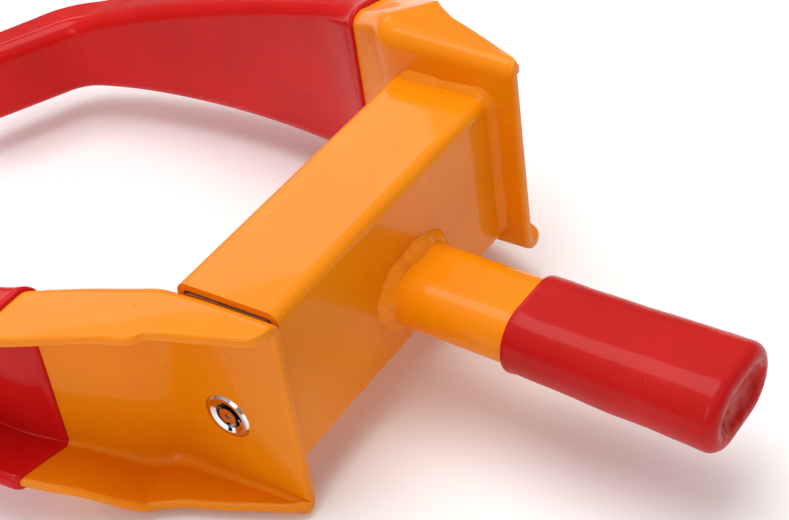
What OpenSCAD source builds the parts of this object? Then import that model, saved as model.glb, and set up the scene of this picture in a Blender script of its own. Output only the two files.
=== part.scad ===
// Claw-type wheel clamp with a telescoping tube and a tubular-key lock.
// X runs along the tube, +Y into the jaws (towards the tyre), +Z up.
// The origin is the centre of the face that bears on the tyre's tread.
// The clamp is drawn closed and unlocked.

/* [Outer tube] */
// Length of the outer tube
tube_l = 121; // [110:1:140]
// Width of the outer tube, along Y
tube_w = 38; // [38:1:44]
// Height of the outer tube, along Z
tube_h = 60; // [60:1:66]
// Wall of the outer tube
tube_t = 2.5; // [2:0.5:3]
// Outside corner radius of the outer tube
tube_r = 4; // [3:0.5:5]

/* [Inner tube] */
// Clearance all round between the two tubes
slide_gap = 0.5; // [0.3:0.1:0.8]
// Wall of the inner tube
inner_t = 2; // [1.5:0.5:2]
// Travel of the sliding arm
travel = 90; // [70:10:90]

/* [Claw arms] */
// Thickness of the pressed arm
arm_t = 4; // [3:0.5:4]
// Outside radius of the channel's bends
arm_r = 5; // [4.5:0.5:6]
// Height of the sliding arm's straight side above the tube's axis
arm_top = 30; // [28:0.5:34]
// Depth of its tapered side below the tube's axis, at the plate's edge
arm_drop = 48.5; // [46:0.5:50]
// Height of the tapered side at the claw's bend, above the tube's axis
arm_rise = 0.5; // [-4:0.5:2]
// Turn of the flare outwards, in degrees
flare_turn = 31; // [25:1:35]
// Length of the claw's straight tip
tip_l = 42; // [30:1:50]
// Distance that the fixed arm stands further back than the sliding one
fixed_back = 8.6; // [0:0.1:10]
// Distance that the fixed arm stands lower than the sliding one turned over
fixed_low = 4.5; // [0:0.5:5]

/* [PVC dip] */
// Thickness of the PVC on the arms
dip_t = 1.2; // [0.8:0.1:1.6]
// Place of the dip's edge along the sliding arm, from the tube's axis
dip_sliding = 59; // [50:1:64]
// Place of the dip's edge along the fixed arm
dip_fixed = 56; // [50:1:64]

/* [Handle] */
// Width of the oval handle tube, along X
handle_w = 33; // [28:1:36]
// Height of the oval handle tube
handle_h = 20; // [18:1:24]
// Length of the handle tube
handle_l = 115; // [100:1:130]
// Length of the grip
grip_l = 73; // [60:1:80]
// Thickness of the grip's wall at its mouth
grip_t = 1.9; // [1.5:0.1:2.5]
// Thickness of the grip's wall at its end
grip_end_t = 3.3; // [2:0.1:4]
// Lean of the handle towards the sliding arm, in degrees
handle_lean = 1.5; // [0:0.5:3]
// Droop of the handle, in degrees
handle_droop = 1.2; // [0:0.1:3]

/* [Lock] */
// Radius of the lock's face
lock_face_r = 8.25; // [8:0.05:8.3]
// Radius of the lock's barrel
lock_body_r = 7.3; // [7:0.1:7.4]
// Length of the lock's barrel behind its face
lock_body_l = 26; // [24:1:28]
// Radius of the keyway's outside wall
keyway_r = 4.6; // [4.5:0.1:4.7]
// Depth of the keyway
keyway_d = 6.6; // [6:0.1:7]
// Number of pins
pin_n = 8; // [8:8:8]
// Press of the pins under the key
pin_press = 1.2; // [1:0.1:1.2]

/* [Latch] */
// Pitch of the rack's notches
pitch = 10; // [10:10:10]
// Width of a latch tooth
tooth_w = 4.6; // [4:0.1:4.8]
// Radius of the latch over its teeth
tooth_r = 11; // [10.6:0.1:11]
// Half the angle of a latch tooth
tooth_half = 28; // [20:1:28]
// Radius of the drive shaft
shaft_r = 4; // [3.5:0.5:4]

/* [Hidden] */

$fn = 48;
enamel = [0.95, 0.53, 0.05];
dip_red = [0.80, 0.06, 0.06];
steel = [0.62, 0.63, 0.65];
brass = [0.78, 0.62, 0.30];

// Places along X: the mouth of the outer tube and the fixed arm's inner face
mouth_x = -tube_l / 2;
fixed_x = tube_l / 2;
axis_y = -tube_w / 2;
// Gap between the mouth and the sliding arm's plate when the clamp is closed
mouth_gap = 0.5;
plate_x = mouth_x - mouth_gap;
face_x = plate_x - arm_t;

// Inner tube
inner_w = tube_w - 2 * tube_t - 2 * slide_gap;
inner_h = tube_h - 2 * tube_t - 2 * slide_gap;
inner_r = 2;
inner_end = fixed_x - 4.5;
bulkhead_t = 4;
cavity_h = inner_h - 2 * inner_t;

// Handle
handle_x = 5.6;
handle_z = -7.2;
handle_wall = 2;
grip_start = 44;
grip_sunk = 1.2;

// Lock axis and stations, measured along X from the lock's face
lock_y = axis_y + 6.1;
lock_z = -17.2;
lock_proud = 0.6;
lock_front = face_x - lock_proud;
flange_l = 3.2;
shear_x = lock_front + keyway_d + 8;
disc_r = 5.55;
run_gap = 0.05;
pin_circle = 3.9;
pin_r = 0.65;
pin_bore = 0.7;
driver_l = 3.5;
sleeve_l = 11;
post_r = 3.2;
tail_r = 2.5;
clip_x = plate_x + 0.1;
sleeve_pin_x = shear_x + 5.5;
square_w = 3.4;
square_l = 5.4;
spring_turns = 4;
cross_x = fixed_x - 19.5;

// Latch and rack
rack_w = 10;
rack_low = lock_z + 8;
rack_high = rack_low + 12;
notch_w = tooth_w + 0.6;
notch_top = lock_z + tooth_r + 0.6;
tooth_x = [fixed_x - 24.5, fixed_x - 14.5];
notch_n = travel / pitch + len(tooth_x);
shaft_x0 = lock_front + 28;
shaft_x1 = fixed_x - 2;
hub_r = 6.5;
hub_x1 = fixed_x - 10.1;
bush_r = 5.5;
bush_flange = 1.5;
bulk_x = inner_end - bulkhead_t;
groove_x = inner_end + 0.1;

// Weld beads
bead_r = 3.2;
foot_bead_r = 4.4;
fillet = 2.5;

// Travel stop
stop_x = mouth_x + 10;
stop_y = axis_y - 8;
stop_r = 3;
stop_tip = -25.3;
stop_head = 2.8;
stop_head_r = 5.2;

// ---- Plain helpers ----

// Rectangle with round corners, made of squares and circles
module round_rect(w, h, r) {
    union() {
        square([w - 2 * r, h], center = true);
        square([w, h - 2 * r], center = true);
        for (sx = [-1, 1], sy = [-1, 1])
            translate([sx * (w / 2 - r), sy * (h / 2 - r)]) circle(r);
    }
}

// Flat oval
module stadium(w, h) {
    union() {
        square([w - h, h], center = true);
        for (s = [-1, 1]) translate([s * (w - h) / 2, 0]) circle(h / 2);
    }
}

// Extrusion along +X from x0 to x1 of a profile drawn in (Y, Z)
module along_x(x0, x1) {
    translate([x0, 0, 0]) rotate([90, 0, 90]) linear_extrude(x1 - x0) children();
}

// Rod along X
module rod_x(x0, x1, r) {
    translate([x0, 0, 0]) rotate([0, 90, 0]) cylinder(r = r, h = x1 - x0);
}

// Places children on the lock's axis
module on_lock() {
    translate([0, lock_y, lock_z]) children();
}

// Places children on each pin's own axis
module each_pin() {
    for (i = [0:pin_n - 1])
        on_lock() rotate([(i + 0.5) * 360 / pin_n, 0, 0]) translate([0, pin_circle, 0]) children();
}

// ---- The claw's plan: headings and lengths, as [length, turn, steps] ----
// The path follows the face on the tyre's side, from the plate's free edge.
// A turn with no length is a sharp crease.
plate_len = 47;
plan = [
    [plate_len, 0, 2],
    [0, flare_turn, 1],
    [36, 0, 2],
    [24, -22, 5],
    [92, -17, 7],
    [26, -10, 4],
    [10, -44, 5],
    [tip_l, 0, 3]
];
plan_start = -20.3;

// Stations of the plan as [u, w, heading before, heading after, run]
function step_on(p, len, turn) =
    let (mid = p[3] + turn / 2)
    [p[0] + len * cos(mid), p[1] + len * sin(mid), p[3] + turn, p[3] + turn, p[4] + len];
function walk(p, seg, i) =
    i == seg[2] ? [] :
    let (q = step_on(p, seg[0] / seg[2], seg[1] / seg[2]))
    concat([q], walk(q, seg, i + 1));
function walk_plan(p, k) =
    k == len(plan) ? [p] :
    plan[k][0] == 0 ? walk_plan([p[0], p[1], p[2], p[3] + plan[k][1], p[4]], k + 1) :
    let (part = walk(p, plan[k], 0), last = len(part) - 1)
    concat([p], [for (i = [0:last - 1]) part[i]], walk_plan(part[last], k + 1));
stations = walk_plan([plan_start, 0, 0, 0, 0], 0);
last_station = len(stations) - 1;
plan_len = stations[last_station][4];
bend_run = plan_len - tip_l - 5;
taper_run = plate_len + 12;
knee_run = plate_len + 36;

// Mix of a and b as s goes from s0 to s1
function mix(a, b, s, s0, s1) = a + (b - a) * min(1, max(0, (s - s0) / (s1 - s0)));

// An arm stands shift higher than the sliding one: [straight side, drop at the plate's
// edge, drop at the crease, drop at the knee, rise at the claw's bend]
function claw_of(shift) = [
    arm_top + shift, arm_drop - shift, arm_drop + 2.5 - shift, arm_drop - 9.5 - shift,
    arm_rise + shift
];
// Depths of the two sides at the edge, crease, knee and bend, and the tapered side's lean
straight_deep = [11, 26.5, 25.5, 17.5];
tapered_deep = [6.5, 28, 26, 17];
tapered_lift = [1.5, 4, 2.5, 1];

function low_z(arm, s) =
    s < taper_run ? mix(-arm[1], -arm[2], s, 0, taper_run) :
    s < knee_run ? mix(-arm[2], -arm[3], s, taper_run, knee_run) :
    mix(-arm[3], arm[4], s, knee_run, bend_run);
function deep(d, s) =
    s < plate_len ? mix(d[0], d[1], s, 0, plate_len) :
    s < knee_run ? mix(d[1], d[2], s, plate_len, knee_run) :
    mix(d[2], d[3], s, knee_run, bend_run);

// Quarter arc of the channel's section, as points [depth, z]
arc_n = 4;
function quarter(c, r, a0, a1) = [
    for (i = [0:arc_n])
        let (a = a0 + (a1 - a0) * i / arc_n) [c[0] + r * cos(a), c[1] + r * sin(a)]
];

// Section of the channel grown by g: a closed loop of [depth, z]
function section(arm, s, g) =
    let (
        top = arm[0] + g, low = low_z(arm, s) - g, inner = arm_t + 2 * g,
        d_top = deep(straight_deep, s) + g, d_low = deep(tapered_deep, s) + g,
        edge = low + deep(tapered_lift, s),
        ro = arm_r + g, ri = max(0.4, arm_r - arm_t - g), web = arm_t + g
    ) concat(
        [[d_top, top]],
        quarter([ro - g, top - ro], ro, 90, 180),
        quarter([ro - g, low + ro], ro, 180, 270),
        [[d_low, edge], [d_low, edge + inner]],
        quarter([web + ri, low + inner + ri], ri, 270, 180),
        quarter([web + ri, top - inner - ri], ri, 180, 90),
        [[d_top, top - inner]]
    );

// Point of a section placed at a station, in the arm's own (u, w, z) axes.
// At the crease the section lies in the mitre plane, and the crease leans.
crease_lean = 0.11;
function placed(st, q) =
    let (turn = st[3] - st[2], mid = (st[2] + st[3]) / 2, reach = q[0] / cos(turn / 2))
    [
        st[0] - reach * sin(mid) - (abs(turn) > 1 ? crease_lean * q[1] : 0),
        st[1] + reach * cos(mid),
        q[1]
    ];

// Closes an end of the channel with a strip between its outer and inner walls, so that
// nothing spans the open side. base is the ring's first point.
function cap_faces(base, n, flip) = [
    for (k = [0:n / 2 - 2], half = [0, 1])
        let (f = half == 0 ? [k, k + 1, n - 2 - k] : [k, n - 2 - k, n - 1 - k])
        [for (j = flip ? [2, 1, 0] : [0, 1, 2]) base + f[j]]
];

// The claw in the arm's own axes: u towards the tyre, w outwards, z along the tapered side
module claw(arm) {
    rings = [for (st = stations) [for (q = section(arm, st[4], 0)) placed(st, q)]];
    n = len(rings[0]);
    last = len(rings) - 1;
    polyhedron(
        points = [for (r = rings) each r],
        faces = concat(
            cap_faces(0, n, false),
            cap_faces(last * n, n, true),
            [for (i = [0:last - 1], j = [0:n - 1])
                [i * n + j, (i + 1) * n + j, (i + 1) * n + (j + 1) % n]],
            [for (i = [0:last - 1], j = [0:n - 1])
                [i * n + j, (i + 1) * n + (j + 1) % n, i * n + (j + 1) % n]]
        )
    );
}

// The dip is a skin of its own: it starts at a level edge, part way up the flare, and
// closes over the tip. Its first rings are spread between that edge and a full station.
dip_first = 2;
dip_full = 8;
dip_spread = 6;

// Points of every station's section, grown by g
function skin(arm, g) = [
    for (st = stations) [for (q = section(arm, st[4], g)) placed(st, q)]
];
// Run at which line j of a skin reaches u
function run_at(rings, j, u, i) =
    rings[i + 1][j][0] < u ? run_at(rings, j, u, i + 1) :
    mix(stations[i][4], stations[i + 1][4], u, rings[i][j][0], rings[i + 1][j][0]);
// Point of line j at a run
function along(rings, j, s, i) =
    stations[i + 1][4] < s ? along(rings, j, s, i + 1) :
    let (t = (s - stations[i][4]) / (stations[i + 1][4] - stations[i][4]))
    rings[i][j] * (1 - t) + rings[i + 1][j] * t;
// Rings of a skin from the level edge to the tip
function dip_rings(rings, u) =
    let (n = len(rings[0]), full = stations[dip_full][4])
    concat(
        [for (k = [0:dip_spread - 1]) [
            for (j = [0:n - 1])
                let (s0 = run_at(rings, j, u, dip_first))
                along(rings, j, s0 + (full - s0) * k / dip_spread, dip_first)
        ]],
        [for (i = [dip_full:last_station]) rings[i]]
    );

module claw_dip(arm, dip_u) {
    end = step_on(stations[last_station], dip_t, 0);
    tip = [for (q = section(arm, end[4], dip_t)) placed(end, q)];
    outer = concat(dip_rings(skin(arm, dip_t), dip_u), [tip]);
    inner = dip_rings(skin(arm, 0), dip_u);
    n = len(tip);
    lo = len(outer) - 1;
    li = len(inner) - 1;
    c = len(outer) * n;
    polyhedron(
        points = concat([for (r = outer) each r], [for (r = inner) each r]),
        faces = concat(
            cap_faces(lo * n, n, true),
            cap_faces(c + li * n, n, false),
            [for (j = [0:n - 1]) [j, (j + 1) % n, c + (j + 1) % n]],
            [for (j = [0:n - 1]) [j, c + (j + 1) % n, c + j]],
            [for (i = [0:lo - 1], j = [0:n - 1])
                [i * n + j, (i + 1) * n + j, (i + 1) * n + (j + 1) % n]],
            [for (i = [0:lo - 1], j = [0:n - 1])
                [i * n + j, (i + 1) * n + (j + 1) % n, i * n + (j + 1) % n]],
            [for (i = [0:li - 1], j = [0:n - 1])
                [c + i * n + j, c + (i + 1) * n + (j + 1) % n, c + (i + 1) * n + j]],
            [for (i = [0:li - 1], j = [0:n - 1])
                [c + i * n + j, c + i * n + (j + 1) % n, c + (i + 1) * n + (j + 1) % n]]
        )
    );
}

// Places the arm's axes at the sliding or the fixed end of the tube
module as_sliding() {
    translate([plate_x, axis_y, 0]) rotate([0, 0, 90]) children();
}
module as_fixed() {
    translate([fixed_x, axis_y - fixed_back, 0]) rotate([180, 0, 90]) children();
}

// ---- Outer frame ----

module tube_outline() {
    translate([axis_y, 0]) round_rect(tube_w, tube_h, tube_r);
}

module outer_tube() {
    color(enamel) difference() {
        along_x(mouth_x, fixed_x) difference() {
            tube_outline();
            translate([axis_y, 0])
                round_rect(tube_w - 2 * tube_t, tube_h - 2 * tube_t, tube_r - tube_t);
        }
        translate([stop_x, stop_y, -tube_h / 2 - 1])
            cylinder(r = stop_r + run_gap, h = tube_t + 2);
    }
}

module fixed_arm() {
    color(enamel) as_fixed() claw(claw_of(fixed_low));
}

module fixed_arm_sleeve() {
    color(dip_red) as_fixed() claw_dip(claw_of(fixed_low), dip_fixed);
}

// Bead along the tube's top edge, round the back corner and down the back edge
module fixed_arm_weld() {
    corner_y = tube_r - tube_w;
    corner_z = tube_h / 2 - tube_r;
    color(enamel) difference() {
        union() {
            translate([fixed_x, -tube_r, tube_h / 2])
                rotate([90, 0, 0]) cylinder(r = bead_r, h = tube_w - 2 * tube_r);
            translate([fixed_x, -tube_w, -corner_z]) cylinder(r = bead_r, h = 2 * corner_z);
            translate([fixed_x, corner_y, corner_z])
                rotate([0, 90, 0]) rotate_extrude() translate([tube_r, 0]) circle(bead_r);
            translate([fixed_x, -tube_r, tube_h / 2]) sphere(bead_r);
            translate([fixed_x, -tube_w, -corner_z]) sphere(bead_r);
        }
        along_x(fixed_x - 10, fixed_x + 1) tube_outline();
        translate([fixed_x, -60, -60]) cube([10, 80, 120]);
    }
}

// Handle, drawn along -Y from the tube's back face
module on_handle() {
    translate([handle_x, -tube_w, handle_z])
        rotate([handle_droop, 0, -handle_lean]) rotate([90, 0, 0]) children();
}

// Space in front of the tube's back face
module tube_side() {
    translate([-60, -tube_w, -60]) cube([120, 20, 120]);
}

module handle_tube() {
    color(enamel) difference() {
        on_handle() translate([0, 0, -2]) linear_extrude(handle_l + 2) difference() {
            stadium(handle_w, handle_h);
            stadium(handle_w - 2 * handle_wall, handle_h - 2 * handle_wall);
        }
        tube_side();
    }
}

module handle_weld() {
    color(enamel) difference() {
        on_handle() hull() {
            translate([0, 0, -1])
                linear_extrude(2) stadium(handle_w + 2 * foot_bead_r, handle_h + 2 * foot_bead_r);
            translate([0, 0, foot_bead_r - 1])
                linear_extrude(0.6) stadium(handle_w + 1.4, handle_h + 1.4);
        }
        on_handle() translate([0, 0, -10]) linear_extrude(30) stadium(handle_w, handle_h);
        tube_side();
    }
}

// Plug of the grip: flat oval that grows from its mouth to its end
module grip_shape() {
    hull() {
        translate([0, 0, grip_start])
            linear_extrude(1) stadium(handle_w + 2 * grip_t, handle_h + 2 * grip_t);
        translate([0, 0, grip_start + grip_l - 1])
            linear_extrude(1) stadium(handle_w + 2 * grip_end_t, handle_h + 2 * grip_end_t);
    }
}

module handle_grip() {
    color(dip_red) difference() {
        on_handle() grip_shape();
        on_handle() translate([0, 0, grip_start - 1])
            linear_extrude(handle_l - grip_start + 1) stadium(handle_w, handle_h);
        on_handle() translate([0, 0, grip_start + grip_l - grip_sunk])
            linear_extrude(grip_sunk + 1) stadium(handle_w - 2, handle_h - 2);
    }
}

module rack_bar() {
    color(steel) difference() {
        translate([mouth_x + 1.1, lock_y - rack_w / 2, rack_low])
            cube([tube_l - 1.1, rack_w, rack_high - rack_low]);
        for (k = [0:notch_n - 1])
            translate([tooth_x[1] - k * pitch - notch_w / 2, lock_y - rack_w, rack_low - 1])
                cube([notch_w, 2 * rack_w, notch_top - rack_low + 1]);
    }
}

// Triangular fillet along +Z, in the corner between +X and +Y
module fillet_bar(h) {
    linear_extrude(h) polygon([[0, 0], [fillet, 0], [0, fillet]]);
}

module rack_weld() {
    high = rack_high - rack_low;
    color(steel) union() {
        for (s = [0, 1])
            translate([fixed_x, lock_y, rack_low])
                mirror([0, s, 0]) translate([0, rack_w / 2, 0])
                    mirror([1, 0, 0]) fillet_bar(high);
        translate([fixed_x, lock_y - rack_w / 2, rack_high])
            mirror([1, 0, 0]) rotate([90, 0, 0]) mirror([0, 0, 1]) fillet_bar(rack_w);
        translate([fixed_x, lock_y - rack_w / 2, rack_low])
            mirror([0, 0, 1]) mirror([1, 0, 0])
                rotate([90, 0, 0]) mirror([0, 0, 1]) fillet_bar(rack_w);
    }
}

module travel_stop() {
    head_z = -tube_h / 2 - stop_head;
    color(steel) difference() {
        union() {
            translate([stop_x, stop_y, head_z + stop_head])
                cylinder(r = stop_r, h = stop_tip + tube_h / 2);
            translate([stop_x, stop_y, head_z + 1]) cylinder(r = stop_head_r, h = stop_head - 1);
            translate([stop_x, stop_y, head_z])
                cylinder(r1 = stop_head_r - 1, r2 = stop_head_r, h = 1);
        }
        translate([stop_x - 6, stop_y - 0.6, head_z - 1]) cube([12, 1.2, 2.2]);
    }
}

// ---- Sliding frame ----

module sliding_arm() {
    color(enamel) difference() {
        as_sliding() claw(claw_of(0));
        on_lock() rod_x(face_x - 10, plate_x + 5, lock_body_r + 0.1);
        on_lock() rod_x(face_x - 10, lock_front + flange_l, lock_face_r + 0.1);
    }
}

module sliding_arm_sleeve() {
    color(dip_red) as_sliding() claw_dip(claw_of(0), dip_sliding);
}

module inner_tube() {
    slot_x0 = stop_x - stop_r - 0.1;
    slot_l = travel + 2 * stop_r + 0.2;
    color(steel) difference() {
        along_x(plate_x, inner_end) translate([axis_y, 0]) difference() {
            round_rect(inner_w, inner_h, inner_r);
            square([inner_w - 2 * inner_t, cavity_h], center = true);
        }
        translate([slot_x0, stop_y - stop_r - 0.2, -inner_h / 2 - 1])
            cube([slot_l, 2 * stop_r + 0.4, inner_t + 2]);
    }
}

module inner_tube_weld() {
    wide = inner_w - 2 * inner_t;
    color(steel) difference() {
        translate([plate_x, axis_y, 0]) union() {
            for (s = [0, 1]) mirror([0, s, 0]) translate([0, -wide / 2, -cavity_h / 2])
                fillet_bar(cavity_h);
            for (s = [0, 1]) mirror([0, 0, s]) translate([0, wide / 2, -cavity_h / 2])
                rotate([90, 0, 0]) fillet_bar(wide);
        }
        on_lock() rod_x(plate_x - 1, plate_x + 5, lock_body_r + 0.7);
    }
}

module bulkhead() {
    wide = inner_w - 2 * inner_t;
    color(steel) difference() {
        translate([bulk_x, axis_y - wide / 2, -cavity_h / 2]) cube([bulkhead_t, wide, cavity_h]);
        on_lock() rod_x(bulk_x - 1, inner_end + 1, bush_r);
        translate([bulk_x - 1, lock_y - rack_w / 2 - 0.3, rack_low - 0.3])
            cube([bulkhead_t + 2, rack_w + 0.6, rack_high - rack_low + 0.6]);
    }
}

module shaft_bush() {
    color(brass) on_lock() difference() {
        union() {
            rod_x(bulk_x, inner_end, bush_r);
            rod_x(bulk_x - bush_flange, bulk_x, bush_r + 1.2);
        }
        rod_x(bulk_x - 5, inner_end + 5, shaft_r + run_gap);
    }
}

// ---- Lock ----

module lock_housing() {
    color(steel) on_lock() difference() {
        union() {
            translate([lock_front, 0, 0]) rotate([0, 90, 0])
                cylinder(r1 = lock_face_r - 0.8, r2 = lock_face_r, h = 0.8);
            rod_x(lock_front + 0.8, lock_front + flange_l, lock_face_r);
            rod_x(lock_front + flange_l, lock_front + flange_l + lock_body_l, lock_body_r);
        }
        rod_x(lock_front - 1, lock_front + keyway_d + 1, keyway_r);
        rod_x(lock_front + keyway_d, lock_front + 40, disc_r + run_gap);
        translate([lock_front, 0, 0]) rotate([0, 90, 0])
            cylinder(r1 = keyway_r + 1.6, r2 = keyway_r, h = 0.7);
        translate([lock_front - 1, -0.8, -keyway_r - 1.4]) cube([3.4, 1.6, 3]);
        difference() {
            rod_x(clip_x - 0.1, clip_x + 1.1, lock_face_r);
            rod_x(clip_x - 1, clip_x + 2, lock_body_r - 0.7);
        }
        translate([sleeve_pin_x, 0, 0]) cylinder(r = 0.8 + 0.02, h = 10);
    }
}

module lock_clip() {
    color(steel) on_lock() difference() {
        rod_x(clip_x, clip_x + 1, lock_body_r + 0.4);
        rod_x(clip_x - 1, clip_x + 2, lock_body_r - 0.65);
        translate([clip_x - 1, -3, -10]) cube([3, 6, 8]);
    }
}

module lock_spindle() {
    color(steel) difference() {
        on_lock() union() {
            rod_x(lock_front + 0.4, lock_front + keyway_d + 1, post_r);
            rod_x(lock_front + keyway_d + run_gap, shear_x - run_gap, disc_r);
            rod_x(shear_x - 1, shear_x + sleeve_l, tail_r);
            translate([shear_x + sleeve_l - 1, -square_w / 2, -square_w / 2])
                cube([square_l + 1, square_w, square_w]);
        }
        on_lock() rod_x(lock_front - 1, lock_front + 2.4, 0.9);
        on_lock() translate([lock_front - 1, -0.8, -post_r - 1]) cube([5, 1.6, 1.7]);
        each_pin() rod_x(lock_front + keyway_d, shear_x + 1, pin_bore);
    }
}

module pin_sleeve() {
    color(brass) difference() {
        on_lock() rod_x(shear_x, shear_x + sleeve_l, disc_r);
        on_lock() rod_x(shear_x - 1, shear_x + sleeve_l + 1, tail_r + run_gap);
        each_pin() rod_x(shear_x - 1, shear_x + sleeve_l - 1, pin_bore);
        on_lock() translate([sleeve_pin_x, 0, 4.5]) cylinder(r = 0.82, h = 5);
    }
}

module sleeve_pin() {
    color(steel) on_lock() translate([sleeve_pin_x, 0, 4.5]) cylinder(r = 0.8, h = 2.7);
}

module front_pins() {
    color(brass) each_pin() rod_x(lock_front + keyway_d - pin_press, shear_x - run_gap, pin_r);
}

module driver_pins() {
    color(steel) each_pin() rod_x(shear_x, shear_x + driver_l, pin_r);
}

module pin_springs() {
    spring_l = sleeve_l - 1 - driver_l;
    color(steel) each_pin() translate([shear_x + driver_l, 0, 0]) rotate([0, 90, 0])
        linear_extrude(spring_l, twist = -360 * spring_turns, slices = 7 * spring_turns, $fn = 6)
            translate([0.44, 0]) circle(0.14, $fn = 6);
}

// ---- Latch ----

module drive_shaft() {
    color(steel) on_lock() difference() {
        rod_x(shaft_x0, shaft_x1, shaft_r);
        translate([shaft_x0 - 1, -square_w / 2 - 0.05, -square_w / 2 - 0.05])
            cube([square_l, square_w + 0.1, square_w + 0.1]);
        translate([cross_x, 0, -20]) cylinder(r = 1.02, h = 40);
        difference() {
            rod_x(groove_x - 0.05, groove_x + 1.05, shaft_r + 1);
            rod_x(groove_x - 1, groove_x + 2, shaft_r - 0.6);
        }
    }
}

// Tooth that points to -Y while the clamp is unlocked
module tooth() {
    reach = 2 * tooth_r;
    intersection() {
        circle(tooth_r);
        polygon([[0, 0], [-reach, reach * tan(tooth_half)], [-reach, -reach * tan(tooth_half)]]);
    }
}

module latch_cam() {
    color(steel) on_lock() difference() {
        union() {
            rod_x(tooth_x[0] - 3, hub_x1, hub_r);
            for (x = tooth_x) along_x(x - tooth_w / 2, x + tooth_w / 2) tooth();
        }
        rod_x(0, fixed_x, shaft_r + 0.03);
        translate([cross_x, 0, -20]) cylinder(r = 1.02, h = 40);
    }
}

module latch_pin() {
    color(steel) on_lock() translate([cross_x, 0, 0.2 - hub_r]) cylinder(r = 1, h = 2 * hub_r - 0.4);
}

module shaft_clip() {
    color(steel) on_lock() difference() {
        rod_x(groove_x, groove_x + 1, shaft_r + 1.2);
        rod_x(groove_x - 1, groove_x + 2, shaft_r - 0.55);
        translate([groove_x - 1, -1.8, 0]) cube([3, 3.6, 10]);
    }
}

outer_tube();
fixed_arm();
fixed_arm_sleeve();
fixed_arm_weld();
handle_tube();
handle_weld();
handle_grip();
rack_bar();
rack_weld();
travel_stop();
sliding_arm();
sliding_arm_sleeve();
inner_tube();
inner_tube_weld();
lock_housing();
lock_clip();
pin_sleeve();
sleeve_pin();
driver_pins();
pin_springs();
lock_spindle();
front_pins();
drive_shaft();
latch_cam();
latch_pin();
shaft_clip();
bulkhead();
shaft_bush();
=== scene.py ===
import math

import bpy
import bmesh
from mathutils import Matrix, Vector, noise


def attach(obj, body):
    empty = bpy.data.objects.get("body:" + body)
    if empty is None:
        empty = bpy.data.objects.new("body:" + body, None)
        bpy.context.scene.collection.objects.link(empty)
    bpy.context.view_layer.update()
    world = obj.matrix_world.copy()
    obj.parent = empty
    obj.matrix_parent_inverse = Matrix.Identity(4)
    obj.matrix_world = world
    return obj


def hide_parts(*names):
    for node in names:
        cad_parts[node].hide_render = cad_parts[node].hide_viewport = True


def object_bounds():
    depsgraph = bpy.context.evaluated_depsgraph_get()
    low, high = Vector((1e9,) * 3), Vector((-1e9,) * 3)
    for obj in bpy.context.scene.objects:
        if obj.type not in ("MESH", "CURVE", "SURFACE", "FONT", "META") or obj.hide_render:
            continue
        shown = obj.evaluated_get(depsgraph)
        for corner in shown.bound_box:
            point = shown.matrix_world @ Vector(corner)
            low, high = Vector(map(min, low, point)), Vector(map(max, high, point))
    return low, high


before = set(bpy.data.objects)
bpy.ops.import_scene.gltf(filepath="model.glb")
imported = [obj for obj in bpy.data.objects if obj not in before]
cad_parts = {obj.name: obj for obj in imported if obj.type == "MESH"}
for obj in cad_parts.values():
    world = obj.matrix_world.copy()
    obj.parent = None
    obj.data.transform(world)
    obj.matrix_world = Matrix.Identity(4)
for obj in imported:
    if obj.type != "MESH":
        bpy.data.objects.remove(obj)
cad_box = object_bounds()

MM = 0.001


# ---------------------------------------------------------------- materials
def material(name, color, rough, metal=0.0, coat=0.0, coat_rough=0.05, spec=0.5):
    m = bpy.data.materials.new(name)
    m.use_nodes = True
    b = m.node_tree.nodes["Principled BSDF"]
    b.inputs["Base Color"].default_value = (*color, 1)
    b.inputs["Roughness"].default_value = rough
    b.inputs["Metallic"].default_value = metal
    b.inputs["Coat Weight"].default_value = coat
    b.inputs["Coat Roughness"].default_value = coat_rough
    b.inputs["Specular IOR Level"].default_value = spec
    return m, m.node_tree.nodes, m.node_tree.links, b


def coords(nodes, links, stretch=(1, 1, 1)):
    t = nodes.new("ShaderNodeTexCoord")
    p = nodes.new("ShaderNodeMapping")
    p.inputs["Scale"].default_value = stretch
    links.new(t.outputs["Object"], p.inputs["Vector"])
    return p.outputs["Vector"]


def noise_node(nodes, links, at, scale, detail=3.0, rough=0.5):
    n = nodes.new("ShaderNodeTexNoise")
    n.inputs["Scale"].default_value = scale
    n.inputs["Detail"].default_value = detail
    n.inputs["Roughness"].default_value = rough
    links.new(at, n.inputs["Vector"])
    return n.outputs["Fac"]


def ramp(nodes, links, value, stops):
    r = nodes.new("ShaderNodeValToRGB")
    e = r.color_ramp.elements
    while len(e) < len(stops):
        e.new(0.5)
    for k, (place, color) in enumerate(stops):
        e[k].position = place
        e[k].color = (*color, 1)
    links.new(value, r.inputs["Fac"])
    return r.outputs["Color"]


def grey(v):
    return (v, v, v)


def spread(nodes, links, value, low, high, a=0.3, b=0.7):
    r = nodes.new("ShaderNodeMapRange")
    r.inputs["From Min"].default_value = a
    r.inputs["From Max"].default_value = b
    r.inputs["To Min"].default_value = low
    r.inputs["To Max"].default_value = high
    links.new(value, r.inputs["Value"])
    return r.outputs["Result"]


def bump(nodes, links, height, strength, distance, under=None):
    b = nodes.new("ShaderNodeBump")
    b.inputs["Strength"].default_value = strength
    b.inputs["Distance"].default_value = distance
    links.new(height, b.inputs["Height"])
    if under is not None:
        links.new(under, b.inputs["Normal"])
    return b.outputs["Normal"]


def blend_color(nodes, links, fac, a, b):
    """Mix of the colour socket a and the plain colour b."""
    m = nodes.new("ShaderNodeMix")
    m.data_type = "RGBA"
    links.new(fac, m.inputs["Factor"])
    links.new(a, m.inputs[6])
    m.inputs[7].default_value = (*b, 1)
    return m.outputs[2]


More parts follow.
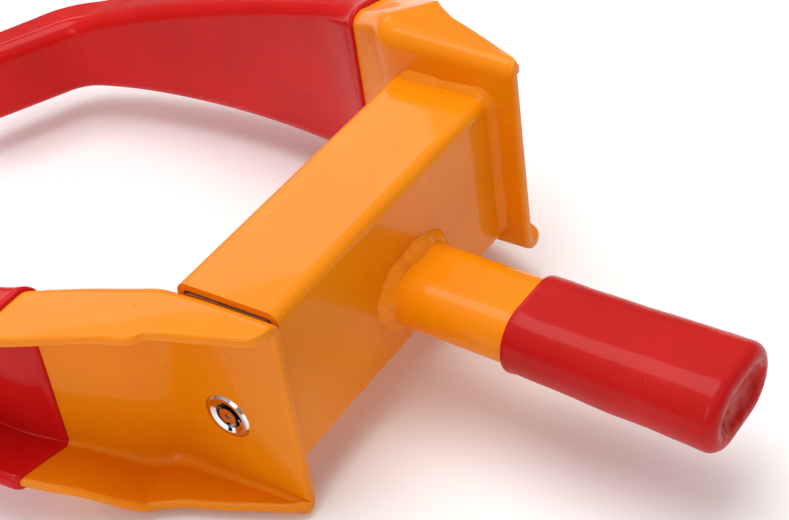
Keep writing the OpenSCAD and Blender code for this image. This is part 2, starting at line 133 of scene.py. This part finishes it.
def dots(nodes, links, at, scale, size):
    """White dots of the given size, one in each cell, on black."""
    v = nodes.new("ShaderNodeTexVoronoi")
    v.inputs["Scale"].default_value = scale
    links.new(at, v.inputs["Vector"])
    r = nodes.new("ShaderNodeMapRange")
    r.inputs["From Min"].default_value = size
    r.inputs["From Max"].default_value = size * 0.35
    links.new(v.outputs["Distance"], r.inputs["Value"])
    return r.outputs["Result"]


def product(nodes, links, a, b):
    m = nodes.new("ShaderNodeMath")
    m.operation = "MULTIPLY"
    links.new(a, m.inputs[0])
    links.new(b, m.inputs[1])
    return m.outputs["Value"]


def enamel_material():
    m, n, l, b = material("enamel", (0.82, 0.24, 0.002), 0.3, coat=0.24, coat_rough=0.04, spec=0.08)
    at = coords(n, l)
    wide = noise_node(n, l, at, 22, 2)
    base = ramp(n, l, wide, [(0.3, (0.82, 0.225, 0.001)), (0.7, (0.90, 0.262, 0.002))])
    cloud = noise_node(n, l, at, 90, 4, 0.6)
    base = blend_color(n, l, spread(n, l, cloud, 0.0, 0.16, 0.45, 0.75), base, (0.70, 0.185, 0.001))
    sparse = spread(n, l, noise_node(n, l, at, 34, 1), 0, 1, 0.56, 0.6)
    specks = product(n, l, dots(n, l, at, 190, 0.075), sparse)
    base = blend_color(n, l, specks, base, (0.20, 0.06, 0.01))
    l.new(base, b.inputs["Base Color"])
    l.new(spread(n, l, cloud, 0.24, 0.36), b.inputs["Roughness"])
    flow = bump(n, l, noise_node(n, l, at, 55, 2), 0.22, 0.0009)
    peel = bump(n, l, noise_node(n, l, at, 420, 2), 0.10, 0.00018, flow)
    nibs = bump(n, l, product(n, l, dots(n, l, at, 330, 0.16), sparse), 0.5, 0.0003, peel)
    l.new(nibs, b.inputs["Normal"])
    return m


def pvc_material(name, dark, light, rough):
    m, n, l, b = material(name, light, rough, coat=0.16, coat_rough=0.06, spec=0.08)
    at = coords(n, l)
    wide = noise_node(n, l, at, 26, 2)
    base = ramp(n, l, wide, [(0.3, dark), (0.7, light)])
    fine = noise_node(n, l, at, 240, 3, 0.6)
    base = blend_color(n, l, spread(n, l, fine, 0.0, 0.18, 0.5, 0.8), base, (0.36, 0.004, 0.004))
    l.new(base, b.inputs["Base Color"])
    l.new(spread(n, l, fine, rough - 0.04, rough + 0.07), b.inputs["Roughness"])
    sag = bump(n, l, noise_node(n, l, at, 38, 2), 0.30, 0.0014)
    sparse = spread(n, l, noise_node(n, l, at, 45, 1), 0, 1, 0.54, 0.6)
    pits = bump(n, l, product(n, l, dots(n, l, at, 180, 0.16), sparse), 0.5, 0.0004, sag)
    skin = bump(n, l, fine, 0.04, 0.0001, pits)
    l.new(skin, b.inputs["Normal"])
    return m


def metal_material(name, dark, light, rough, grain=(1, 1, 1), depth=0.12):
    m, n, l, b = material(name, light, rough, metal=1.0)
    at = coords(n, l, grain)
    fine = noise_node(n, l, at, 420, 4, 0.65)
    wide = noise_node(n, l, at, 60, 3)
    l.new(ramp(n, l, wide, [(0.3, dark), (0.7, light)]), b.inputs["Base Color"])
    l.new(spread(n, l, fine, rough * 0.75, rough * 1.35), b.inputs["Roughness"])
    l.new(bump(n, l, fine, depth, 0.0002), b.inputs["Normal"])
    return m


ENAMEL = enamel_material()
DIP = pvc_material("dipped_pvc", (0.54, 0.006, 0.005), (0.63, 0.009, 0.008), 0.22)
GRIP = pvc_material("grip_pvc", (0.46, 0.006, 0.005), (0.54, 0.009, 0.007), 0.34)
STEEL = metal_material("steel", (0.42, 0.42, 0.43), (0.58, 0.58, 0.60), 0.38, (1, 6, 6))
ZINC = metal_material("zinc", (0.56, 0.57, 0.60), (0.72, 0.73, 0.76), 0.30)
CHROME = metal_material("chrome", (0.74, 0.74, 0.76), (0.86, 0.86, 0.88), 0.10, depth=0.04)
BRASS = metal_material("brass", (0.62, 0.44, 0.18), (0.78, 0.58, 0.26), 0.28)

def weigh_normals(o):
    o.modifiers.new("normals", "WEIGHTED_NORMAL").keep_sharp = True


def smooth_faces(mesh, sharp):
    for p in mesh.polygons:
        p.use_smooth = True
    mesh.set_sharp_from_angle(angle=math.radians(sharp))


def add_object(name, data):
    o = bpy.data.objects.new(name, data)
    bpy.context.scene.collection.objects.link(o)
    return o


def mesh_from(name, bm):
    me = bpy.data.meshes.new(name)
    bm.to_mesh(me)
    bm.free()
    return me


CAD_LOOK = {
    "outer_tube": ENAMEL, "handle_tube": ENAMEL,
    "rack_bar": ZINC, "rack_weld": STEEL, "travel_stop": ZINC,
    "inner_tube": ZINC, "inner_tube_weld": STEEL, "bulkhead": STEEL,
    "lock_housing": CHROME, "lock_clip": ZINC, "sleeve_pin": STEEL, "driver_pins": STEEL,
    "pin_springs": STEEL, "lock_spindle": CHROME, "drive_shaft": STEEL, "latch_cam": STEEL,
    "latch_pin": STEEL, "shaft_clip": STEEL, "pin_sleeve": BRASS, "shaft_bush": BRASS,
    "front_pins": BRASS,
}
for node_name, look in CAD_LOOK.items():
    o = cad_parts[node_name]
    o.data.materials.clear()
    o.data.materials.append(look)

for node_name, width in (("outer_tube", 0.0006), ("handle_tube", 0.0004), ("rack_bar", 0.0004),
                         ("lock_housing", 0.00015), ("lock_spindle", 0.00012)):
    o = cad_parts[node_name]
    bev = o.modifiers.new("edge", "BEVEL")
    bev.width = width
    bev.segments = 2
    bev.limit_method = "ANGLE"
    bev.angle_limit = math.radians(40)
    weigh_normals(o)


# ---------------------------------------------------------------- mesh helpers
def mesh_object(name, verts, faces, look, sharp=50, weighted=True):
    me = bpy.data.meshes.new(name)
    me.from_pydata([tuple(v) for v in verts], [], faces)
    me.validate()
    me.update()
    o = add_object(name, me)
    bm = bmesh.new()
    bm.from_mesh(me)
    bmesh.ops.recalc_face_normals(bm, faces=bm.faces)
    bm.to_mesh(me)
    bm.free()
    smooth_faces(me, sharp)
    me.materials.append(look)
    if weighted:
        weigh_normals(o)
    return o


def stand_in(o, body, node):
    """Puts o on a body in place of a CAD node."""
    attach(o, body)
    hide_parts(node)


def loft(rings, cap0=True, cap1=True):
    """Faces between rings of equal length; a cap is one polygon."""
    n = len(rings[0])
    verts = [p for r in rings for p in r]
    faces = []
    for i in range(len(rings) - 1):
        for j in range(n):
            a, b = i * n + j, i * n + (j + 1) % n
            faces.append((a, b, b + n, a + n))
    if cap0:
        faces.append(tuple(range(n - 1, -1, -1)))
    if cap1:
        k = (len(rings) - 1) * n
        faces.append(tuple(range(k, k + n)))
    return verts, faces


def wave(p, scale, seed=0.0):
    return noise.noise(Vector((p[0] * scale + seed, p[1] * scale - seed, p[2] * scale)))


# ---------------------------------------------------------------- the claws
PLATE_L = 47.0
START_U = -20.3
FLARE = 31
LEAN = 0.11
ARM_T = 4.0
EDGE_CORNER = 6.0
DIP_T = 1.2
PLAN = [(36, 0), (24, -22), (92, -17), (26, -10), (12, -44), (41, 0)]
PLAN_L = PLATE_L + sum(a for a, _ in PLAN)
BEND = PLAN_L - 47
TIP_R = 1.5


def path(s, crease):
    """Point and heading of the claw's plan at run s, with a crease of the given length."""
    u, w, h = START_U, 0.0, 0.0
    plan = [(PLATE_L - crease / 2, 0), (crease, FLARE), (PLAN[0][0] - crease / 2, 0)]
    plan += PLAN[1:]
    for length, turn in plan:
        part = min(max(s, 0.0), length) if length != PLAN[-1][0] else s
        k = turn / length
        if abs(k) < 1e-9:
            u += part * math.cos(math.radians(h))
            w += part * math.sin(math.radians(h))
        else:
            r = length / math.radians(turn)
            h1 = h + k * part
            u += r * (math.sin(math.radians(h1)) - math.sin(math.radians(h)))
            w += r * (math.cos(math.radians(h)) - math.cos(math.radians(h1)))
            h = h1
        s -= length
        if s <= 0:
            break
    return u, w, h


def knots(table, s):
    for (s0, v0), (s1, v1) in zip(table, table[1:]):
        if s <= s1:
            return v0 + (v1 - v0) * min(1, max(0, (s - s0) / (s1 - s0)))
    return table[-1][1]


def soft(table, s, reach=9.0):
    return sum(knots(table, s + reach * k / 4) for k in range(-4, 5)) / 9


def arm_tables(shift):
    """Lines of the section along the run, for an arm standing shift higher."""
    e, c, k = 0.0, 52.0, PLATE_L + PLAN[0][0]
    return {
        "top": 30.0 + shift,
        "low": [(e, shift - 48.5), (PLATE_L + 12, shift - 51.0), (k, shift - 39.0),
                (BEND, 0.5 + shift)],
        "d_top": [(e, 11.0), (PLATE_L, 26.5), (k, 25.5), (BEND, 17.5), (PLAN_L, 15.5)],
        "d_low": [(e, 6.5), (PLATE_L, 28.0), (k, 26.0), (BEND, 17.0), (PLAN_L, 15.0)],
        "lift": [(e, 1.5), (c, 4.0), (k, 2.5), (BEND, 1.0)],
    }


def arc(c, r, a0, a1, n):
    out = []
    for i in range(n + 1):
        a = math.radians(a0 + (a1 - a0) * i / n)
        out.append((c[0] + r * math.cos(a), c[1] + r * math.sin(a)))
    return out


def section(t, s, g):
    """Loop of (depth, z), grown by g: straight flange, web, tapered flange and back."""
    top, low = t["top"] + g, soft(t["low"], s) - g
    thick = ARM_T + 2 * g
    web = ARM_T + g
    round_off = 0.0
    if s < EDGE_CORNER:
        round_off = EDGE_CORNER - math.sqrt(EDGE_CORNER ** 2 - (EDGE_CORNER - s) ** 2)
    re = min(TIP_R + g * 0.8, thick / 2 - 0.05)
    shortest = web + re + 0.5
    dt = max(shortest, soft(t["d_top"], s) + g - round_off)
    dl = max(shortest, soft(t["d_low"], s) + g - round_off)
    lift = soft(t["lift"], s)
    grow = 2.2 * math.exp(-((s - 52.0) / 20.0) ** 2)
    ro = 5.4 + g + grow
    ri = max(0.6, 1.8 - g + grow)
    rot, rol = min(ro, dt - re + g - 0.1), min(ro, dl - re + g - 0.1)
    rit, ril = min(ri, dt - re - web - 0.1), min(ri, dl - re - web - 0.1)
    pts = []
    pts += arc((dt - re, top - thick + re), re, -90, 0, 4)
    pts += arc((dt - re, top - re), re, 0, 90, 4)
    pts += arc((rot - g, top - rot), rot, 90, 180, 8)
    pts += arc((rol - g, low + rol), rol, 180, 270, 8)
    pts += arc((dl - re, low + re + lift), re, -90, 0, 4)
    pts += arc((dl - re, low + thick - re + lift), re, 0, 90, 4)
    pts += arc((web + ril, low + thick + ril), ril, 270, 180, 6)
    pts += arc((web + rit, top - thick - rit), rit, 180, 90, 6)
    return pts


def place(t, s, q):
    # The web folds sharply, and the sides' free edges sweep round it
    u, w, h = path(s, 9.0 + 0.95 * max(0.0, q[0] - ARM_T))
    a = math.radians(h)
    lean = -LEAN * q[1] * math.exp(-((s - PLATE_L) / 13.0) ** 2)
    return (u - q[0] * math.sin(a) + lean, w + q[0] * math.cos(a), q[1])


def to_sliding(p):
    return Vector((-61.0 - p[1], -19.0 + p[0], p[2])) * MM


def to_fixed(p):
    return Vector((60.5 + p[1], -27.6 + p[0], -p[2])) * MM


def runs():
    """Runs of the rings, closer together round the crease and at the tip."""
    out, s = [], 3.0
    while s < PLAN_L - 2.5:
        out.append(s)
        s += 2.0 if 33 < s < 64 or s > BEND - 8 else 3.5
    return out


def ring_at(t, s, g):
    return [place(t, s, q) for q in section(t, s, g)]


def claw(name, shift, to_world, body, node):
    t = arm_tables(shift)
    rings = []
    r = 1.3
    for k in range(5):
        a = math.pi / 2 * k / 4
        rings.append(ring_at(t, r * (1 - math.cos(a)), r * (math.sin(a) - 1)))
    rings += [ring_at(t, s, 0.0) for s in [1.6, 2.2] + runs() + [PLAN_L]]
    verts, faces = loft([[to_world(p) for p in ring] for ring in rings])
    o = mesh_object(name, verts, faces, ENAMEL)
    stand_in(o, body, node)
    return o, t


def start_run(t, g, j, u):
    """Run at which line j of the section grown by g reaches u."""
    lo, hi = 30.0, 120.0
    for _ in range(26):
        mid = (lo + hi) / 2
        if place(t, mid, section(t, mid, g)[j])[0] < u:
            lo = mid
        else:
            hi = mid
    return (lo + hi) / 2


# The dip's rounded edge, as (run past the edge, growth)
DIP_EDGE = [(0.0, -0.3), (0.05, 0.35), (0.25, 0.85), (0.7, 1.25), (1.5, 1.5), (2.6, 1.42),
            (4.2, 1.22)]
DIP_SPREAD = 14


def dip(name, t, edge_u, to_world, body, node):
    """The PVC skin, from a slightly wavy edge at edge_u to a rounded end over the tip."""
    n = len(section(t, 100.0, 0.0))
    full = 122.0
    wobble = [0.7 * noise.noise(Vector((j * 0.21, edge_u, 3.1))) for j in range(n)]
    starts = [start_run(t, DIP_T, j, edge_u + wobble[j]) for j in range(n)]

    def line_at(j, s, g):
        return place(t, s, section(t, s, g)[j])

    rings = [[line_at(j, starts[j] + ds, g) for j in range(n)] for ds, g in DIP_EDGE]
    first = DIP_EDGE[-1][0]
    for k in range(1, DIP_SPREAD + 1):
        rings.append([line_at(j, starts[j] + first + (full - starts[j] - first) * k / DIP_SPREAD,
                              DIP_T) for j in range(n)])
    last = PLAN_L - 1.0
    rings += [ring_at(t, s, DIP_T) for s in [x for x in runs() if x > full + 1.5] + [last]]
    for k in range(1, 6):
        a = math.pi / 2 * k / 5
        rings.append(ring_at(t, last + 2.2 * math.sin(a), DIP_T - 2.0 * (1 - math.cos(a))))
    verts, faces = loft([[to_world(p) for p in ring] for ring in rings])
    o = mesh_object(name, verts, faces, DIP, sharp=60)
    stand_in(o, body, node)


sliding, t_sliding = claw("sliding_claw", 0.0, to_sliding, "slider", "sliding_arm")
_, t_fixed = claw("fixed_claw", 4.5, to_fixed, "frame", "fixed_arm")
dip("sliding_claw_dip", t_sliding, 59.0, to_sliding, "slider", "sliding_arm_sleeve")
dip("fixed_claw_dip", t_fixed, 56.0, to_fixed, "frame", "fixed_arm_sleeve")

# The lock's bore in the sliding claw
BORE_AT, BORE_R = (-63, -12.9, -17.2), 8.36
bm = bmesh.new()
bmesh.ops.create_cone(bm, cap_ends=True, segments=64, depth=20 * MM,
                      radius1=BORE_R * MM, radius2=BORE_R * MM,
                      matrix=Matrix.Translation(Vector(BORE_AT) * MM)
                      @ Matrix.Rotation(math.pi / 2, 4, "Y"))
cutter = add_object("bore_cutter", mesh_from("bore_cutter", bm))
sliding.modifiers.clear()
cut = sliding.modifiers.new("bore", "BOOLEAN")
cut.object = cutter
cut.operation = "DIFFERENCE"
cut.solver = "EXACT"
bpy.context.view_layer.update()
depsgraph = bpy.context.evaluated_depsgraph_get()
baked = bpy.data.meshes.new_from_object(sliding.evaluated_get(depsgraph))
sliding.modifiers.clear()
sliding.data = baked
smooth_faces(baked, 50)
bpy.data.objects.remove(cutter)
weigh_normals(sliding)


# ---------------------------------------------------------------- handle
HANDLE_W, HANDLE_H = 33.0, 20.0
TUBE_BACK, TUBE_TOP, TUBE_END, TUBE_R = -38.0, 30.0, 60.5, 4.0
HANDLE = (Matrix.Translation(Vector((5.6, TUBE_BACK, -7.2)) * MM)
          @ Matrix.Rotation(math.radians(-1.5), 4, "Z") @ Matrix.Rotation(math.radians(1.2), 4, "X")
          @ Matrix.Rotation(math.radians(90), 4, "X"))


def oval(w, h, n):
    """Points and outward normals of a flat oval, from its right end, in mm."""
    r, half = h / 2, (w - h) / 2
    straight, bend = 2 * half, math.pi * r
    total = 2 * (straight + bend)
    out = []
    for i in range(n):
        d = total * i / n
        if d < bend / 2:
            a = d / r
            c = (half, 0)
        elif d < bend / 2 + straight:
            out.append(((half - (d - bend / 2), r), (0, 1)))
            continue
        elif d < bend * 1.5 + straight:
            a = math.pi / 2 + (d - bend / 2 - straight) / r
            c = (-half, 0)
        elif d < bend * 1.5 + 2 * straight:
            out.append(((-half + (d - bend * 1.5 - straight), -r), (0, -1)))
            continue
        else:
            a = math.pi * 1.5 + (d - bend * 1.5 - 2 * straight) / r
            c = (half, 0)
        out.append(((c[0] + r * math.cos(a), r * math.sin(a)), (math.cos(a), math.sin(a))))
    return out


def grip():
    start, length = 44.0, 73.0
    n = 96
    rim = oval(HANDLE_W, HANDLE_H, n)
    # Rows along the grip, as (distance, growth past the tube): rim, body, round end, sunken end
    rows = [(0.0, 0.0), (0.0, 0.7), (0.12, 1.25), (0.5, 1.75), (1.1, 2.0), (2.2, 2.0),
            (4.0, 1.95)]
    c = 7.0
    while c < length - 7:
        rows.append((c, 1.9 + 1.4 * c / length))
        c += 3.0
    for k in range(9):
        a = math.pi / 2 * k / 8
        rows.append((length - 4.2 + 4.2 * math.sin(a), 3.25 - 4.2 * (1 - math.cos(a))))
    for d, sunk in ((-1.9, 0.15), (-2.9, 0.6), (-3.7, 1.5), (-4.6, 2.3), (-5.8, 2.7),
                    (-7.2, 2.6), (-8.6, 2.8)):
        rows.append((length - sunk, d))
    verts = []
    for c, g in rows:
        for p, nrm in rim:
            x, y = p[0] + nrm[0] * g, p[1] + nrm[1] * g
            z = start + c
            q = (x * 0.05, y * 0.05, z * 0.05)
            out = 0.0
            if 3 < c < length - 1 and g > 0:
                out = 0.35 * wave(q, 1.2, 2.0) + 0.12 * wave(q, 4.0, 5.0)
                # Flats of the tube show through the soft wall
                out -= 0.35 * (1 - abs(nrm[0])) * math.sin(math.pi * c / length)
            x += nrm[0] * out
            y += nrm[1] * out
            if g < -1.5:
                z += 0.55 * wave((x, y, 0), 0.42, 7.0) + 0.35 * wave((x, y, 3), 0.9, 1.0)
            if g <= -4.6:
                y *= 0.72
            verts.append(HANDLE @ (Vector((x, y, z)) * MM))
    rings = [verts[k * n:(k + 1) * n] for k in range(len(rows))]
    v, f = loft(rings, cap0=False)
    o = mesh_object("grip_cover", v, f, GRIP, sharp=80, weighted=False)
    stand_in(o, "frame", "handle_grip")


grip()


def bead(name, corner, side_a, side_b, radius, node, closed, seed):
    """Weld bead along a line of corner points, bulging between two directions at each."""
    rings = []
    count = len(corner)
    for i, c in enumerate(corner):
        lump = 1 + 0.035 * math.sin(i * 0.55 + 3.0 * noise.noise(Vector((i * 0.08, seed, 0))))
        lump += 0.36 * noise.noise(Vector((i * 0.065, seed, 5.0)))
        lump += 0.10 * noise.noise(Vector((i * 0.21, seed, 9.0)))
        ends = 1.0
        if not closed:
            e = min(i, count - 1 - i) / 5.0
            ends = 0.25 + 0.75 * min(1.0, math.sqrt(min(1.0, e)))
        row = [c - side_a[i] * 0.4 * MM - side_b[i] * 0.4 * MM]
        for k in range(9):
            a = math.pi / 2 * k / 8
            r = radius * lump * ends * (0.26 + 0.74 / (math.cos(a) + math.sin(a)))
            r *= 1 + 0.05 * noise.noise(Vector((i * 0.5, k * 0.7, seed)))
            row.append(c + (side_a[i] * math.cos(a) + side_b[i] * math.sin(a)) * r * MM)
        rings.append(row)
    if closed:
        rings.append(rings[0])
    verts, faces = loft(rings, cap0=not closed, cap1=not closed)
    o = mesh_object(name, verts, faces, ENAMEL, sharp=70, weighted=False)
    if closed:
        bm = bmesh.new()
        bm.from_mesh(o.data)
        bmesh.ops.remove_doubles(bm, verts=bm.verts, dist=1e-6)
        bm.to_mesh(o.data)
        bm.free()
    stand_in(o, "frame", node)


# Bead round the handle's foot
corner, out_a, up_b = [], [], []
for p, nrm in oval(HANDLE_W, HANDLE_H, 180):
    c = HANDLE @ (Vector((p[0], p[1], 0.0)) * MM)
    c.y = TUBE_BACK * MM
    corner.append(c)
    out_a.append((HANDLE.to_3x3() @ Vector((nrm[0], nrm[1], 0))).normalized())
    up_b.append(Vector((0, -1, 0)))
bead("foot_bead", corner, out_a, up_b, 3.6, "handle_weld", True, 3.0)

# Bead along the tube's end: top edge, round the back corner and down the back edge
corner, side_n = [], []
y = -3.0
while y > TUBE_BACK + TUBE_R:
    corner.append(Vector((TUBE_END, y, TUBE_TOP)) * MM)
    side_n.append(Vector((0, 0, 1)))
    y -= 0.8
for k in range(9):
    a = math.pi / 2 * k / 8
    corner.append(Vector((TUBE_END, TUBE_BACK + TUBE_R - TUBE_R * math.sin(a),
                          TUBE_TOP - TUBE_R + TUBE_R * math.cos(a))) * MM)
    side_n.append(Vector((0, -math.sin(a), math.cos(a))))
z = 25.2
while z > -27.0:
    corner.append(Vector((TUBE_END, TUBE_BACK, z)) * MM)
    side_n.append(Vector((0, -1, 0)))
    z -= 0.8
inward = [Vector((-1, 0, 0))] * len(corner)
bead("tube_bead", corner, inward, side_n, 2.5, "fixed_arm_weld", False, 8.0)

# ---------------------------------------------------------------- camera, floor and light
scene = bpy.context.scene
right = Vector((0.5388, -0.8340, -0.1186)).normalized()
ahead = Vector((0.6112, 0.4839, -0.6263)).normalized()
up = right.cross(ahead).normalized()
cam_data = bpy.data.cameras.new("camera")
cam_data.lens = 81.4
cam_data.sensor_width = 36.0
cam = add_object("camera", cam_data)
cam.matrix_world = (Matrix.Translation(Vector((-347.75, -311.52, 361.29)) * MM)
                    @ Matrix((right, up, -ahead)).transposed().to_4x4())
scene.camera = cam

bm = bmesh.new()
bmesh.ops.create_grid(bm, x_segments=2, y_segments=2, size=6.0)
floor = add_object("floor", mesh_from("floor", bm))
floor.location = (0, 0, cad_box[0][2])
fm, fn, fl, fb = material("floor", (0.97, 0.97, 0.97), 0.9, spec=0.1)
cloudy = noise_node(fn, fl, coords(fn, fl), 3.0)
fl.new(ramp(fn, fl, cloudy, [(0.3, grey(0.96)), (0.7, grey(0.98))]), fb.inputs["Base Color"])
floor.data.materials.append(fm)
scene.view_settings.view_transform = "Standard"

world = bpy.data.worlds.new("world")
world.use_nodes = True
wn, wl = world.node_tree.nodes, world.node_tree.links
wn["Background"].inputs["Strength"].default_value = 0.66
sky = wn.new("ShaderNodeSeparateXYZ")
wl.new(wn.new("ShaderNodeTexCoord").outputs["Generated"], sky.inputs["Vector"])
wl.new(ramp(wn, wl, sky.outputs["Z"], [(0.0, grey(0.30)), (0.35, grey(0.42)), (0.7, grey(1.0))]),
       wn["Background"].inputs["Color"])
scene.world = world


def softbox(name, at, size, power):
    """An area light at a place, aimed at the origin."""
    d = bpy.data.lights.new(name, "AREA")
    d.shape = "RECTANGLE"
    d.size, d.size_y = size
    d.energy = power
    o = add_object(name, d)
    o.location = at
    o.rotation_euler = (-Vector(at)).to_track_quat("-Z", "Y").to_euler()


softbox("top", (0.1, 0.2, 1.5), (1.2, 1.2), 16)
softbox("left", (-1.2, -0.2, 0.7), (0.5, 0.9), 3.6)
softbox("back", (0.9, 1.1, 0.9), (0.8, 0.5), 3.0)
